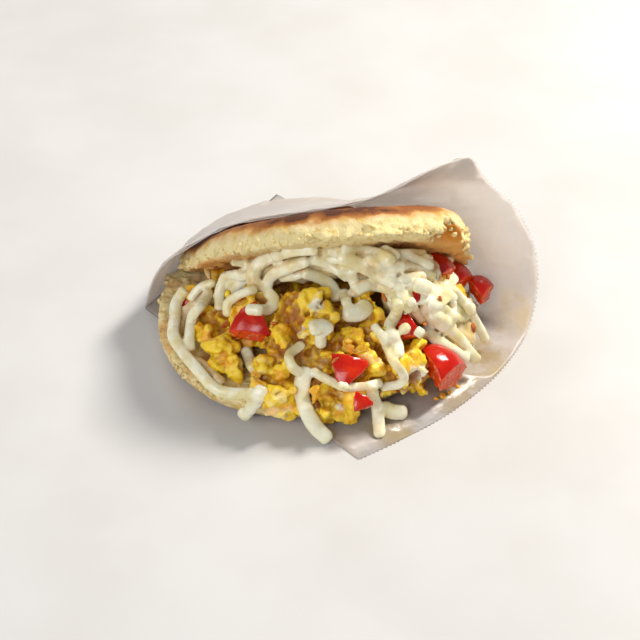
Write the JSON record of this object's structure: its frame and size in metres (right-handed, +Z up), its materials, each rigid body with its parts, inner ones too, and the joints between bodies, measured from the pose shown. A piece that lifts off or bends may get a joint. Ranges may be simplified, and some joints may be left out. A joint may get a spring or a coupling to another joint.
{
  "type": "filled arepa corn cake",
  "caption": "Split round corn cake opened like a clam and heaped with scrambled egg, tomato and shredded melting cheese, tucked in a greaseproof paper bag.",
  "frame": {"origin": "under the middle of the lower half of the bread, on the face that the paper bag rests on", "axes": "+Z up; -Y out of the open mouth of the bread, towards the front; +Y towards the uncut hinge of the two halves; +X to the right seen from the front"},
  "size_m": [0.1791, 0.191, 0.0929],
  "materials": {
    "bread": "matte, grainy corn crumb with a toasted crust",
    "egg": "moist scrambled egg, yellow curds flecked with white",
    "cheese": "glossy melting white cheese",
    "tomato": "wet red flesh and skin",
    "paper": "translucent greaseproof paper"
  },
  "bodies": {
    "root": {"arepa_bread": "bread", "egg_filling": "egg", "cheese_heap": "cheese", "paper_bag": "paper", "tomato_left_wedge": "tomato", "tomato_pocket_slices": "tomato", "tomato_rim_wedge": "tomato", "tomato_outer_wedge": "tomato", "tomato_upper_strip": "tomato", "tomato_middle_strip": "tomato", "tomato_front_wedge": "tomato", "tomato_centre_chunk": "tomato", "tomato_left_chip": "tomato", "tomato_pocket_chunk": "tomato", "tomato_small_chip": "tomato"}
  },
  "joints": []
}
